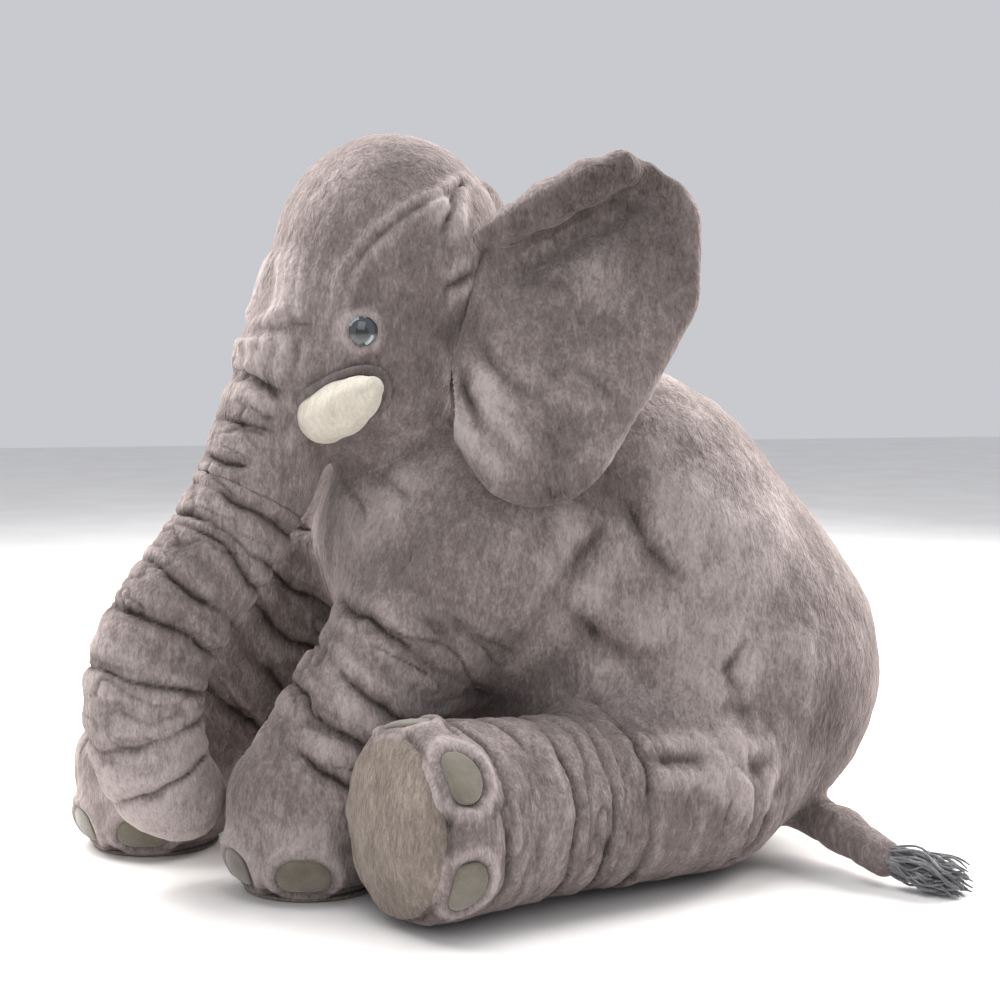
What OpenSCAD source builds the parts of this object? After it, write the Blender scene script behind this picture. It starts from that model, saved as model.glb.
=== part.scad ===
// A stuffed elephant that sits on its rump, legs forward, head turned a little to its left.
// It faces -Y, its left side is +X, and it sits on the plane z = 0.

/* [Fabric and filling] */
// Thickness of the pile fabric with its backing
skin_t = 3; // [2:0.5:5]
// Clearance between a skin and the filling inside it
fill_gap = 0.4; // [0.2:0.1:1]
// Clearance between the torso and a part that moves on it
move_gap = 1.5; // [1:0.5:4]

/* [Torso] */
// Half width, half length and half height of the rump
rump_r = [138, 168, 152]; // [110:1:180]
// Half width, half length and half height of the back
back_r = [124, 146, 150]; // [100:1:170]
// Half width, half length and half height of the chest
chest_r = [104, 108, 112]; // [90:1:130]
// Height at which the rump is flattened by sitting
seat_cut = 4; // [0:1:12]

/* [Head] */
// Angle by which the head and chest are turned to the left
head_yaw = 16; // [0:1:25]
// Half width, half length and half height of the cranium
cranium_r = [98, 92, 106]; // [85:1:115]
// Half width, half length and half height of the cheeks and jaw
jaw_r = [84, 76, 74]; // [70:1:95]
// Radius of the muzzle that the trunk grows from
muzzle_r = 45; // [40:1:52]
// Half width of the crown gusset between the two side panels
gusset_half_w = 52; // [35:1:65]

/* [Trunk] */
// Radius of the trunk
trunk_r = 42; // [36:1:46]
// Radius of the trunk at its tip
trunk_tip_r = 30; // [26:1:34]
// How far each half of the trunk can lift, in degrees
trunk_lift = 18; // [5:1:20]

/* [Ears] */
// Thickness of an ear
ear_t = 16; // [10:1:20]
// Angle by which an ear leans out at the bottom
ear_lean = 17; // [10:1:25]
// How far an ear can flap forwards, in degrees
ear_flap = 11; // [5:1:20]

/* [Eyes and tusks] */
// Radius of the eye's dome
eye_r = 11.5; // [8:0.5:14]
// Radius of the eye's shank
shank_r = 3; // [2:0.25:4]
// Length of a tusk
tusk_len = 66; // [45:1:80]
// Radius of a tusk at its base
tusk_base_r = 22; // [16:1:26]

/* [Legs and feet] */
// Radius of a front leg at the shoulder
fore_top_r = 58; // [50:1:62]
// Radius of a front leg above the foot
fore_low_r = 50; // [42:1:56]
// Radius of a front foot
fore_foot_r = 62; // [54:1:66]
// Height of a front foot
fore_foot_h = 100; // [80:1:120]
// Radius of a hind leg at the hip
hind_top_r = 66; // [58:1:72]
// Radius of a hind leg at mid length
hind_mid_r = 61; // [54:1:66]
// Radius of a hind foot
hind_foot_r = 72; // [64:1:76]
// Thickness of a sole pad
sole_t = 2; // [1:0.5:4]
// Thickness of a toenail patch
nail_t = 1.2; // [0.8:0.1:2]
// Radius of a toenail patch
nail_r = 17; // [10:0.5:20]

/* [Tail] */
// Length of the tail without its tassel
tail_len = 104; // [80:1:130]
// Radius of the tail
tail_r = 17; // [12:1:18]
// Length of the tassel
tassel_len = 66; // [40:1:80]

/* [Hidden] */

$fn = 64;
hull_fn = 24;
soft_fn = 20;
far = 600;

// Offset that puts the origin under the middle of the whole toy
frame_shift = [-5.2, -5, 0];

plush = [0.50, 0.46, 0.46];
plush_light = [0.60, 0.56, 0.54];
fibre = [0.93, 0.93, 0.92];
cream = [0.88, 0.84, 0.77];
velour = [0.45, 0.42, 0.38];
eye_grey = [0.16, 0.18, 0.20];
clear_plastic = [0.85, 0.85, 0.82];
yarn = [0.42, 0.42, 0.43];

rump_c = [0, 165, 150];
back_c = [0, 105, 248];
chest_c = [0, -30, 262];

head_c = [0, -82, 0];
cranium_c = [0, 4, 473];
brow_c = [0, -20, 428];
brow_r = [82, 80, 70];
jaw_c = [0, -20, 392];
muzzle_c = [0, -84, 400];
neck_pivot = [0, -10, 270];
nod_limits = [-12, 2];

trunk_root = [0, -97, 358];
trunk_bend = [0, -157, 236];
trunk_end_gap = trunk_r * tan(trunk_lift / 2) + 1.4;
trunk_upper_path = [trunk_root, [0, -101, 336], [0, -109, 312], [0, -129, 274], trunk_bend];
trunk_lower_path = [trunk_bend, [0, -184, 203], [0, -204, 160], [0, -204, 118], [0, -190, 80], [0, -172, 66]];
trunk_upper_radii = trunk_r * [1, 1, 1, 1, 1];
trunk_lower_radii = [trunk_r, trunk_r, trunk_r, 0.97 * trunk_r, 0.9 * trunk_r, trunk_tip_r];

ear_root = [97.6, 38.7, 455];
ear_turn = 62;

eye_turn = 55;
eye_z = 424;
tusk_base = [52, -74, 360];
tusk_dir = [59, 19, 21];

fore_pivot = [[78, -21, 258], [-75, -75, 284]];
fore_foot = [[72, -152, 0], [-88, -263, 0]];
fore_axis = [[0, 0, -1], [-cos(head_yaw), -sin(head_yaw), 0]];
fore_swing = [15, 17];
fore_nail_turn = -12;

hip_pivot = [[94, 150, 70], [-94, 150, 70]];
hind_foot = [[203, -110, 73], [-192, -96, 73]];
hind_splay = 15;

tail_root = [58, 254, 34];
tail_tip = [159, 280, 19.5];
tassel_tip = [207, 321, 19.5];
tail_swing = [-10, 40];

function unit(v) = v / norm(v);
function span(a, b) = norm(b - a);

module placed() { translate(frame_shift) children(); }

module in_head() { translate(head_c) rotate([0, 0, head_yaw]) children(); }

// Children drawn along +Z from the origin are laid from a towards b
module along(a, b) {
    d = unit(b - a);
    translate(a) rotate([0, acos(d.z), atan2(d.y, d.x)]) children();
}

module about(pivot, axis, angle) { translate(pivot) rotate(angle, axis) translate(-pivot) children(); }

module ball(c, r) { translate(c) scale(r) sphere(1, $fn = hull_fn); }

module above(z) { translate([-far, -far, z]) cube([2 * far, 2 * far, 2 * far]); }

module left_half(x = 0) { translate([x, -far, -far]) cube([2 * far, 2 * far, 3 * far]); }

// Solid of revolution from a list of [radius, height] points, closed on the axis
module turned(profile) {
    low = profile[0][1];
    high = profile[len(profile) - 1][1];
    rotate_extrude($fn = soft_fn) polygon(concat([[0, low]], profile, [[0, high]]));
}

// ---- Torso ----

module torso_balls(inset) {
    ball(rump_c, rump_r - [inset, inset, inset]);
    ball(back_c, back_r - [inset, inset, inset]);
    ball(chest_c, chest_r - [inset, inset, inset]);
}

module torso_form(inset) {
    intersection() {
        hull() torso_balls(inset);
        above(seat_cut + inset);
    }
}

// Everything the torso covers as seen from a part that turns through the given angles
module torso_sweep(pivot, axis, limits) {
    steps = 7;
    for (i = [0 : steps])
        about(pivot, axis, -limits[0] - (limits[1] - limits[0]) * i / steps) hull() torso_balls(-move_gap);
}

module torso_shell() {
    difference() {
        torso_form(0);
        torso_form(skin_t);
    }
}

module torso_skin(side) {
    color(plush) placed() translate([0, 0, -seat_cut]) intersection() {
        torso_shell();
        mirror([side < 0 ? 1 : 0, 0, 0]) left_half();
    }
}

module torso_filling() {
    color(fibre) placed() translate([0, 0, -seat_cut]) torso_form(skin_t + fill_gap);
}

// ---- Head, in its own turned frame ----

head_axis = [cos(head_yaw), sin(head_yaw), 0];

module head_form(inset) {
    hull() {
        ball(cranium_c, cranium_r - [inset, inset, inset]);
        ball(brow_c, brow_r - [inset, inset, inset]);
        ball(jaw_c, jaw_r - [inset, inset, inset]);
        ball(muzzle_c, muzzle_r - inset);
    }
}

// Room for the neck and for the trunk's root as they move
module head_room(extra) {
    rotate([0, 0, -head_yaw]) translate(-head_c) torso_sweep(neck_pivot, head_axis, nod_limits);
    translate(trunk_root) sphere(trunk_r + extra, $fn = soft_fn);
    for (a = [0, trunk_lift / 2, trunk_lift])
        about(trunk_root, [-1, 0, 0], a)
            along(trunk_root, trunk_upper_path[1])
                cylinder(r = trunk_r + extra, h = 2 * trunk_r, $fn = soft_fn);
}

// Frame of an eye: +Z out of the head, origin on the seat of the dome
module in_eye(side) {
    mirror([side < 0 ? 1 : 0, 0, 0])
        translate([0, 0, eye_z]) rotate([0, 0, -90 + eye_turn]) translate([90.2, 0, 0]) rotate([0, 90, 0])
            children();
}

module eye_seat(side) {
    in_eye(side) {
        cylinder(r = eye_r + 0.5, h = 12);
        translate([0, 0, -20]) cylinder(r = shank_r + 0.3, h = 21);
    }
}

module washer_room(side) { in_eye(side) translate([0, 0, -22]) cylinder(r = 10, h = 30); }

module head_shell() {
    difference() {
        head_form(0);
        head_form(skin_t);
        head_room(move_gap);
        eye_seat(1);
        eye_seat(-1);
    }
}

module head_side(side) {
    color(plush) placed() in_head() intersection() {
        head_shell();
        mirror([side < 0 ? 1 : 0, 0, 0]) left_half(gusset_half_w);
    }
}

module head_gusset() {
    color(plush) placed() in_head() difference() {
        head_shell();
        left_half(gusset_half_w);
        mirror([1, 0, 0]) left_half(gusset_half_w);
    }
}

module head_filling() {
    color(fibre) placed() in_head() difference() {
        head_form(skin_t + fill_gap);
        head_room(move_gap);
        washer_room(1);
        washer_room(-1);
    }
}

module eye(side) {
    dome_h = 5;
    dome_r = (eye_r * eye_r + dome_h * dome_h) / (2 * dome_h);
    color(eye_grey) placed() in_head() in_eye(side) {
        intersection() {
            translate([0, 0, dome_h - dome_r]) sphere(dome_r);
            cylinder(r = eye_r, h = dome_h + 1);
        }
        translate([0, 0, -16]) cylinder(r = shank_r, h = 16.5);
    }
}

module eye_washer(side) {
    color(clear_plastic) placed() in_head() in_eye(side) translate([0, 0, -3.2]) difference() {
        cylinder(r = 8.5, h = 1.6);
        translate([0, 0, -1]) cylinder(r = shank_r + 0.05, h = 4);
    }
}

module in_tusk(side) {
    mirror([side < 0 ? 1 : 0, 0, 0]) along(tusk_base, tusk_base + tusk_dir) children();
}

tusk_profile = [
    [tusk_base_r, 0], [tusk_base_r, 0.25 * tusk_len], [0.91 * tusk_base_r, 0.45 * tusk_len],
    [0.74 * tusk_base_r, 0.65 * tusk_len], [0.56 * tusk_base_r, 0.82 * tusk_len],
    [0.43 * tusk_base_r, 0.92 * tusk_len], [0.26 * tusk_base_r, 0.98 * tusk_len]
];

module tusk(side) {
    color(cream) placed() in_head() difference() {
        in_tusk(side) turned(tusk_profile);
        head_form(0);
    }
}

module tusk_cuff(side) {
    color(velour) placed() in_head() difference() {
        in_tusk(side) difference() {
            cylinder(r = tusk_base_r + 5, h = 0.42 * tusk_len);
            translate([0, 0, -1]) cylinder(r = tusk_base_r + 0.2, h = tusk_len);
        }
        head_form(0);
        head_room(move_gap);
    }
}

// ---- Trunk ----

// A list with its corners cut once, which rounds a path or smooths its radii
function rounded(p) = concat(
    [p[0]],
    [for (i = [0 : len(p) - 2]) each [0.75 * p[i] + 0.25 * p[i + 1], 0.25 * p[i] + 0.75 * p[i + 1]]],
    [p[len(p) - 1]]
);

// A round bar along a path, with a radius at each point
module bar(path, radii, inset) {
    p = rounded(path);
    r = rounded(radii);
    for (i = [0 : len(p) - 2]) hull() {
        translate(p[i]) sphere(r[i] - inset, $fn = soft_fn);
        translate(p[i + 1]) sphere(r[i + 1] - inset, $fn = soft_fn);
    }
}

// Everything beyond the crease between the two halves of the trunk
module trunk_cut(next) {
    along(trunk_bend, next) translate([0, 0, -60]) cylinder(r = 70, h = 60 + trunk_end_gap);
}

module trunk_upper_skin() {
    color(plush) placed() in_head() difference() {
        bar(trunk_upper_path, trunk_upper_radii, 0);
        bar(trunk_upper_path, trunk_upper_radii, skin_t);
        trunk_cut(trunk_upper_path[3]);
    }
}

module trunk_upper_filling() {
    color(fibre) placed() in_head() difference() {
        bar(trunk_upper_path, trunk_upper_radii, skin_t + fill_gap);
        trunk_cut(trunk_upper_path[3]);
        translate(trunk_bend) sphere(trunk_r - 5, $fn = soft_fn);
    }
}

module trunk_lower_skin() {
    color(plush_light) placed() in_head() difference() {
        bar(trunk_lower_path, trunk_lower_radii, 0);
        bar(trunk_lower_path, trunk_lower_radii, skin_t);
        trunk_cut(trunk_lower_path[1]);
    }
}

// The filling ends in a ball that turns in the filling of the half above it
module trunk_lower_filling() {
    color(fibre) placed() in_head() {
        difference() {
            bar(trunk_lower_path, trunk_lower_radii, skin_t + fill_gap);
            trunk_cut(trunk_lower_path[1]);
        }
        translate(trunk_bend) sphere(trunk_r - 6, $fn = soft_fn);
    }
}

// ---- Ears ----

// Outline of an ear, seen from its outer face, with the seam on the head at x = 0
module ear_outline() {
    hull() {
        translate([118, 52]) circle(50);
        translate([105, 4]) circle(62);
        translate([40, -112]) circle(60);
        translate([6, -88]) circle(41);
        translate([6, 30]) circle(9);
    }
}

// Slab of the ear between two depths, 0 at the inner face, with its outline drawn in by inset
module ear_slab(side, from, to, inset) {
    mirror([side < 0 ? 1 : 0, 0, 0]) translate(ear_root) rotate([0, 0, ear_turn])
        rotate([-ear_lean, 0, 0]) rotate([90, 0, 0]) translate([0, 0, from - ear_t / 2])
            linear_extrude(to - from) offset(delta = -inset) ear_outline();
}

// Everything the head covers as seen from an ear that flaps
module ear_room(side) {
    steps = 7;
    mirror([side < 0 ? 1 : 0, 0, 0]) for (i = [0 : steps])
        about(ear_root, [0, 0, 1], ear_flap * i / steps) head_form(-0.6);
}

module ear_panel(side, from, to) {
    cavity_low = skin_t;
    cavity_high = ear_t - skin_t;
    color(plush) placed() in_head() difference() {
        ear_slab(side, from, to, 0);
        ear_slab(side, cavity_low, cavity_high, skin_t);
        ear_room(side);
    }
}

module ear_batting(side) {
    color(fibre) placed() in_head() difference() {
        ear_slab(side, skin_t + fill_gap, ear_t - skin_t - fill_gap, skin_t + fill_gap);
        ear_room(side);
    }
}

// ---- Front legs ----

// Leg from the shoulder to just inside the foot; its top is a ball about the shoulder
module fore_form(i, inset) {
    ankle = fore_foot[i] + [0, 0, 0.62 * fore_foot_h];
    length = span(fore_pivot[i], ankle);
    top = fore_top_r - inset;
    low = fore_low_r - inset;
    foot = fore_foot_r - inset;
    base = sole_t + inset;
    along(fore_pivot[i], ankle) turned(concat(
        [for (a = [-60 : 30 : 0]) [top * cos(a), top * sin(a)]],
        [[top, 0.2 * length], [0.96 * top, 0.45 * length], [low, 0.75 * length], [low, length]]
    ));
    translate(fore_foot[i]) turned(concat(
        [[0.86 * foot, base], [0.96 * foot, base + 8], [foot, base + 20], [foot, 0.5 * fore_foot_h]],
        [for (a = [20 : 25 : 70])
            [foot * (0.55 + 0.45 * cos(a)), fore_foot_h * (0.5 + 0.42 * sin(a)) - inset]]
    ));
}

module fore_room(i) {
    torso_sweep(fore_pivot[i] + [0, 0, seat_cut], fore_axis[i], [0, fore_swing[i]]);
}

module fore_skin(i) {
    color(plush) placed() difference() {
        fore_form(i, 0);
        fore_form(i, skin_t);
        translate([0, 0, -seat_cut]) fore_room(i);
    }
}

module fore_filling(i) {
    color(fibre) placed() difference() {
        fore_form(i, skin_t + fill_gap);
        translate([0, 0, -seat_cut]) fore_room(i);
    }
}

module fore_sole(i) {
    color(plush_light) placed() translate(fore_foot[i]) cylinder(r = 0.84 * fore_foot_r, h = sole_t);
}

module fore_nails(i) {
    color(velour) placed() difference() {
        translate(fore_foot[i]) for (turn = [0, -60, -120]) intersection() {
            rotate([0, 0, fore_nail_turn + turn]) translate([0, 0, 23]) rotate([0, 90, 0])
                cylinder(r = nail_r, h = 100);
            cylinder(r = fore_foot_r + nail_t, h = fore_foot_h);
        }
        translate(fore_foot[i]) cylinder(r = fore_foot_r, h = fore_foot_h);
    }
}

// ---- Hind legs ----

module in_hind(i) { along(hip_pivot[i], hind_foot[i]) children(); }

function hind_len(i) = span(hip_pivot[i], hind_foot[i]);

module hind_form(i, inset) {
    length = hind_len(i);
    top = hind_top_r - inset;
    mid = hind_mid_r - inset;
    foot = hind_foot_r - inset;
    end = length - sole_t - inset;
    in_hind(i) turned(concat(
        [for (a = [-60 : 30 : 0]) [top * cos(a), top * sin(a)]],
        [[top, 0.2 * length], [mid, 0.45 * length], [mid, 0.6 * length], [0.97 * foot, 0.78 * length],
         [foot, 0.84 * length], [foot, end - 12], [0.97 * foot, end - 5], [0.9 * foot, end]]
    ));
}

module hind_room(i) {
    side = i == 0 ? 1 : -1;
    torso_sweep(hip_pivot[i] + [0, 0, seat_cut], [0, 0, side], [0, hind_splay]);
}

module hind_skin(i) {
    color(plush) placed() difference() {
        hind_form(i, 0);
        hind_form(i, skin_t);
        translate([0, 0, -seat_cut]) hind_room(i);
    }
}

module hind_filling(i) {
    color(fibre) placed() difference() {
        hind_form(i, skin_t + fill_gap);
        translate([0, 0, -seat_cut]) hind_room(i);
    }
}

module hind_sole(i) {
    color(plush_light) placed() in_hind(i) translate([0, 0, hind_len(i) - sole_t])
        cylinder(r = 0.88 * hind_foot_r, h = sole_t);
}

module hind_nails(i) {
    side = i == 0 ? 1 : -1;
    color(velour) placed() in_hind(i) difference() {
        for (turn = [-115, -52, 11]) intersection() {
            rotate([0, 0, 180 + side * turn]) translate([0, 0, hind_len(i) - 24]) rotate([0, 90, 0])
                cylinder(r = nail_r, h = 100);
            cylinder(r = hind_foot_r + nail_t, h = far);
        }
        cylinder(r = hind_foot_r, h = far);
    }
}

// ---- Tail ----

module tail_form(inset) {
    r = tail_r - inset;
    along(tail_root, tail_tip) turned(concat(
        [for (a = [-60 : 30 : 0]) [r * cos(a), r * sin(a)]],
        [[0.94 * r, 0.5 * tail_len], [0.86 * r, tail_len - inset]]
    ));
}

module tail_room() {
    torso_sweep(tail_root + [0, 0, seat_cut], [0, 0, 1], tail_swing);
}

module tail_skin() {
    color(plush) placed() difference() {
        tail_form(0);
        tail_form(skin_t);
        translate([0, 0, -seat_cut]) tail_room();
    }
}

module tail_filling() {
    color(fibre) placed() difference() {
        tail_form(skin_t + fill_gap);
        translate([0, 0, -seat_cut]) tail_room();
    }
}

module tail_tassel() {
    color(yarn) placed() along(tail_tip, tassel_tip) translate([0, 0, 4]) turned([
        [9, 0], [12, 6], [14, 18], [17, 40], [18, tassel_len - 6], [14, tassel_len]
    ]);
}

torso_skin(1);  // torso_skin_left
torso_skin(-1);  // torso_skin_right
torso_filling();
head_gusset();
head_side(1);  // head_side_left
head_side(-1);  // head_side_right
head_filling();
eye(1);  // eye_left
eye(-1);  // eye_right
eye_washer(1);  // eye_washer_left
eye_washer(-1);  // eye_washer_right
tusk(1);  // tusk_left
tusk(-1);  // tusk_right
tusk_cuff(1);  // tusk_cuff_left
tusk_cuff(-1);  // tusk_cuff_right
trunk_upper_skin();
trunk_upper_filling();
trunk_lower_skin();
trunk_lower_filling();
ear_panel(1, ear_t / 2, ear_t);  // ear_left_front
ear_panel(1, 0, ear_t / 2);  // ear_left_back
ear_batting(1);  // ear_left_batting
ear_panel(-1, ear_t / 2, ear_t);  // ear_right_front
ear_panel(-1, 0, ear_t / 2);  // ear_right_back
ear_batting(-1);  // ear_right_batting
fore_skin(0);  // front_leg_left_skin
fore_filling(0);  // front_leg_left_filling
fore_sole(0);  // front_sole_left
fore_nails(0);  // front_nails_left
fore_skin(1);  // front_leg_right_skin
fore_filling(1);  // front_leg_right_filling
fore_sole(1);  // front_sole_right
fore_nails(1);  // front_nails_right
hind_skin(0);  // hind_leg_left_skin
hind_filling(0);  // hind_leg_left_filling
hind_sole(0);  // hind_sole_left
hind_nails(0);  // hind_nails_left
hind_skin(1);  // hind_leg_right_skin
hind_filling(1);  // hind_leg_right_filling
hind_sole(1);  // hind_sole_right
hind_nails(1);  // hind_nails_right
tail_skin();
tail_filling();
tail_tassel();
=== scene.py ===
import math

import bpy
import numpy as np
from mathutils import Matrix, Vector


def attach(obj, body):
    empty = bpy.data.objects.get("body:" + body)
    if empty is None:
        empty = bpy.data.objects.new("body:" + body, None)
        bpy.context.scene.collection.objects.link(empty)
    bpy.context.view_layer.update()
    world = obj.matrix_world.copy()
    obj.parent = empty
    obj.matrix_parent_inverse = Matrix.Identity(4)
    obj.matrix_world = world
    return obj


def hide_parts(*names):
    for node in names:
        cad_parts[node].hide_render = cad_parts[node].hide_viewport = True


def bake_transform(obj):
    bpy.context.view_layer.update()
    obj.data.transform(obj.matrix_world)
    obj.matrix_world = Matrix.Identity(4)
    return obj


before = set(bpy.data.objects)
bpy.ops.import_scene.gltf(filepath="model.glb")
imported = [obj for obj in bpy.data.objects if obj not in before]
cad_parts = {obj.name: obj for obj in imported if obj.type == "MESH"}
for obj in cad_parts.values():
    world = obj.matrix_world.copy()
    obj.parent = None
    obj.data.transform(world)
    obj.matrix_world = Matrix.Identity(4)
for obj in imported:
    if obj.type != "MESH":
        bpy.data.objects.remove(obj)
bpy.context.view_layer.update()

# ---- Frames: the toy is drawn in mm, then shifted into the row frame and scaled to metres ----

SHIFT = np.array([-5.2, -5.0, 0.0])
HEAD_AT = np.array([0.0, -82.0, 0.0])
HEAD_YAW = math.radians(16)
C, S = math.cos(HEAD_YAW), math.sin(HEAD_YAW)
TO_TOY = np.array([[C, -S, 0.0], [S, C, 0.0], [0.0, 0.0, 1.0]])


def arr(v):
    return np.asarray(v, float)


def from_head(p):
    return arr(p) @ TO_TOY.T + HEAD_AT


def to_head(p):
    return (p - HEAD_AT) @ TO_TOY


def row(p):
    return (arr(p) + SHIFT) / 1000.0


def unit(v):
    v = arr(v)
    return v / np.linalg.norm(v)


# ---- Seeded noise ----

LATTICE = np.random.RandomState(11).rand(32, 32, 32)


def noise(p):
    """Smooth noise from 0 to 1 at points given in lattice steps."""
    cell = np.floor(p).astype(int)
    f = p - cell
    f = f * f * (3 - 2 * f)
    out = np.zeros(len(p))
    for dx in (0, 1):
        wx = f[:, 0] if dx else 1 - f[:, 0]
        for dy in (0, 1):
            wy = f[:, 1] if dy else 1 - f[:, 1]
            for dz in (0, 1):
                wz = f[:, 2] if dz else 1 - f[:, 2]
                out += wx * wy * wz * LATTICE[(cell[:, 0] + dx) & 31, (cell[:, 1] + dy) & 31, (cell[:, 2] + dz) & 31]
    return out


def cloud(p, size, octaves=3):
    """Noise from about -1 to 1 whose largest features are size mm."""
    out, gain = 0.0, 1.0
    for k in range(octaves):
        out = out + gain * (2 * noise(p * (2 ** k / size) + 17.3 * k) - 1)
        gain *= 0.5
    return out / 1.6


# ---- Distance fields ----


def smin(a, b, k):
    h = np.maximum(k - np.abs(a - b), 0) / k
    return np.minimum(a, b) - h * h * k * 0.25


def smax(a, b, k):
    return -smin(-a, -b, k)


def ball(p, c, r):
    q = (p - arr(c)) / arr(r)
    k0 = np.linalg.norm(q, axis=1)
    k1 = np.linalg.norm(q / arr(r), axis=1)
    return k0 * (k0 - 1) / np.maximum(k1, 1e-6)


def bar(p, a, b, ra, rb):
    a, b = arr(a), arr(b)
    ab = b - a
    t = np.clip((p - a) @ ab / (ab @ ab), 0, 1)
    return np.linalg.norm(p - a - t[:, None] * ab, axis=1) - (ra + (rb - ra) * t)


def chain(p, points, radii, k=8.0):
    out = None
    for a, b, ra, rb in zip(points, points[1:], radii, radii[1:]):
        d = bar(p, a, b, ra, rb)
        out = d if out is None else smin(out, d, k)
    return out


def eased(points, times=2):
    """A path, or a list of radii, with its corners cut."""
    p = arr(points)
    for _ in range(times):
        q = [p[0]]
        for a, b in zip(p, p[1:]):
            q += [0.75 * a + 0.25 * b, 0.25 * a + 0.75 * b]
        p = np.array(q + [p[-1]])
    return p


def near(p, points):
    """Arc length of the nearest point on a path, distance to it, and direction from it."""
    points = arr(points)
    best = np.full(len(p), 1e9)
    s_best = np.zeros(len(p))
    d_best = np.zeros((len(p), 3))
    s0 = 0.0
    for a, b in zip(points, points[1:]):
        ab = b - a
        length = np.linalg.norm(ab)
        t = np.clip((p - a) @ ab / length ** 2, 0, 1)
        d = p - a - t[:, None] * ab
        r = np.linalg.norm(d, axis=1)
        hit = r < best
        best[hit], s_best[hit], d_best[hit] = r[hit], s0 + t[hit] * length, d[hit]
        s0 += length
    return s_best, best, d_best / np.maximum(best, 1e-6)[:, None]


RUMP, RUMP_R = arr((0, 165, 146)), arr((138, 168, 152))
BACK, BACK_R = arr((0, 105, 244)), arr((124, 146, 150))
CHEST, CHEST_R = arr((0, -30, 258)), arr((104, 108, 112))


def torso(p):
    out = None
    for (c0, r0), (c1, r1), steps in (
        ((RUMP, RUMP_R), (BACK, BACK_R), (0, 0.33, 0.66, 1)),
        ((BACK, BACK_R), (CHEST, CHEST_R), (0.25, 0.5, 0.75, 1)),
        ((RUMP, RUMP_R), (CHEST, CHEST_R), (0.33, 0.66)),
    ):
        for t in steps:
            d = ball(p, c0 + (c1 - c0) * t, r0 + (r1 - r0) * t)
            out = d if out is None else smin(out, d, 14.0)
    return smax(out + 1.0, -p[:, 2] + 0.5, 22.0)


CRANIUM = ((0, 4, 473), (98, 92, 106))
BROW = ((0, -20, 428), (82, 80, 70))
JAW = ((0, -20, 392), (84, 76, 74))
MUZZLE = ((0, -78, 398), (43, 42, 45))


def skull(q):
    d = smin(ball(q, *CRANIUM), ball(q, *BROW), 30.0)
    d = smin(d, ball(q, *JAW), 26.0)
    return smin(d, ball(q, *MUZZLE), 26.0)


def head(p):
    return skull(to_head(p))


TRUNK_PATH = eased([
    (0, -66, 376), (0, -95, 356), (0, -101, 336), (0, -109, 312), (0, -129, 274), (0, -157, 236),
    (0, -184, 203), (0, -204, 160), (0, -204, 118), (0, -190, 80), (0, -172, 66)])
TRUNK_R = eased([40, 41, 42, 42, 42, 42, 43, 43, 42, 38, 31])


def trunk(p):
    return chain(to_head(p), TRUNK_PATH, TRUNK_R, 6.0)


FORE_PIVOT = [arr((78, -21, 258)), arr((-75, -75, 284))]
FORE_FOOT = [arr((72, -152, 0)), arr((-88, -263, 0))]
FOOT_R, FOOT_H = 62.0, 100.0


def fore_path(i):
    top, foot = FORE_PIVOT[i], FORE_FOOT[i]
    ankle = foot + (0, 0, 66)
    return eased([top, top + (ankle - top) * 0.35 + (0, -4, 0), top + (ankle - top) * 0.7 + (0, -7, 0), ankle])


FORE_R = eased([58, 59, 57, 55])


def foot_block(p, foot):
    d = p - foot
    radial = np.hypot(d[:, 0], d[:, 1]) - FOOT_R - 3 * np.exp(-((d[:, 2] - 30) / 22) ** 2)
    corner = 26.0
    qx = radial + corner
    qz = np.abs(d[:, 2] - FOOT_H / 2 - 0.3) - FOOT_H / 2 + corner
    return np.hypot(np.maximum(qx, 0), np.maximum(qz, 0)) + np.minimum(np.maximum(qx, qz), 0) - corner


def fore(p, i):
    return smin(chain(p, fore_path(i), FORE_R), foot_block(p, FORE_FOOT[i]), 16.0)


HIP = [arr((94, 150, 70)), arr((-94, 150, 70))]
HIND_END = [arr((203, -110, 73)), arr((-192, -96, 73))]


def hind_path(i):
    a, b = HIP[i], HIND_END[i]
    return eased([a + (b - a) * t for t in (0, 0.25, 0.5, 0.72, 0.9, 1.05)])


HIND_R = eased([68, 67, 63, 66, 71, 71])


def hind(p, i):
    axis = unit(HIND_END[i] - HIP[i])
    d = chain(p, hind_path(i), HIND_R)
    d = smax(d, (p - HIND_END[i]) @ axis + 2.0, 20.0)
    return smax(d, -p[:, 2] + 0.5, 14.0)


TAIL_ROOT, TAIL_TIP, TASSEL_TIP = arr((58, 254, 34)), arr((159, 280, 19.5)), arr((207, 321, 19.5))


def tail(p):
    return chain(p, [TAIL_ROOT, TAIL_ROOT * 0.5 + TAIL_TIP * 0.5 + (0, 0, 2), TAIL_TIP], [17.5, 16.5, 14.5])


# ---- Ears, in a local frame: u out from the root, v up, w towards the outer face ----

EAR_ROOT = arr((97.6, 38.7, 455))
EAR_T = 16.0
EAR_DISCS = [(118, 52, 50), (105, 4, 62), (40, -112, 60), (6, -88, 41), (6, 30, 9)]


def turn_x(a):
    a = math.radians(a)
    return np.array([[1, 0, 0], [0, math.cos(a), -math.sin(a)], [0, math.sin(a), math.cos(a)]])


def turn_z(a):
    a = math.radians(a)
    return np.array([[math.cos(a), -math.sin(a), 0], [math.sin(a), math.cos(a), 0], [0, 0, 1]])


EAR_FRAME = turn_z(62) @ turn_x(-17) @ turn_x(90)


def to_ear(p, side):
    q = to_head(p) * (side, 1, 1)
    return (q - EAR_ROOT) @ EAR_FRAME


def from_ear(e, side):
    return from_head((arr(e) @ EAR_FRAME.T + EAR_ROOT) * (side, 1, 1))


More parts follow.
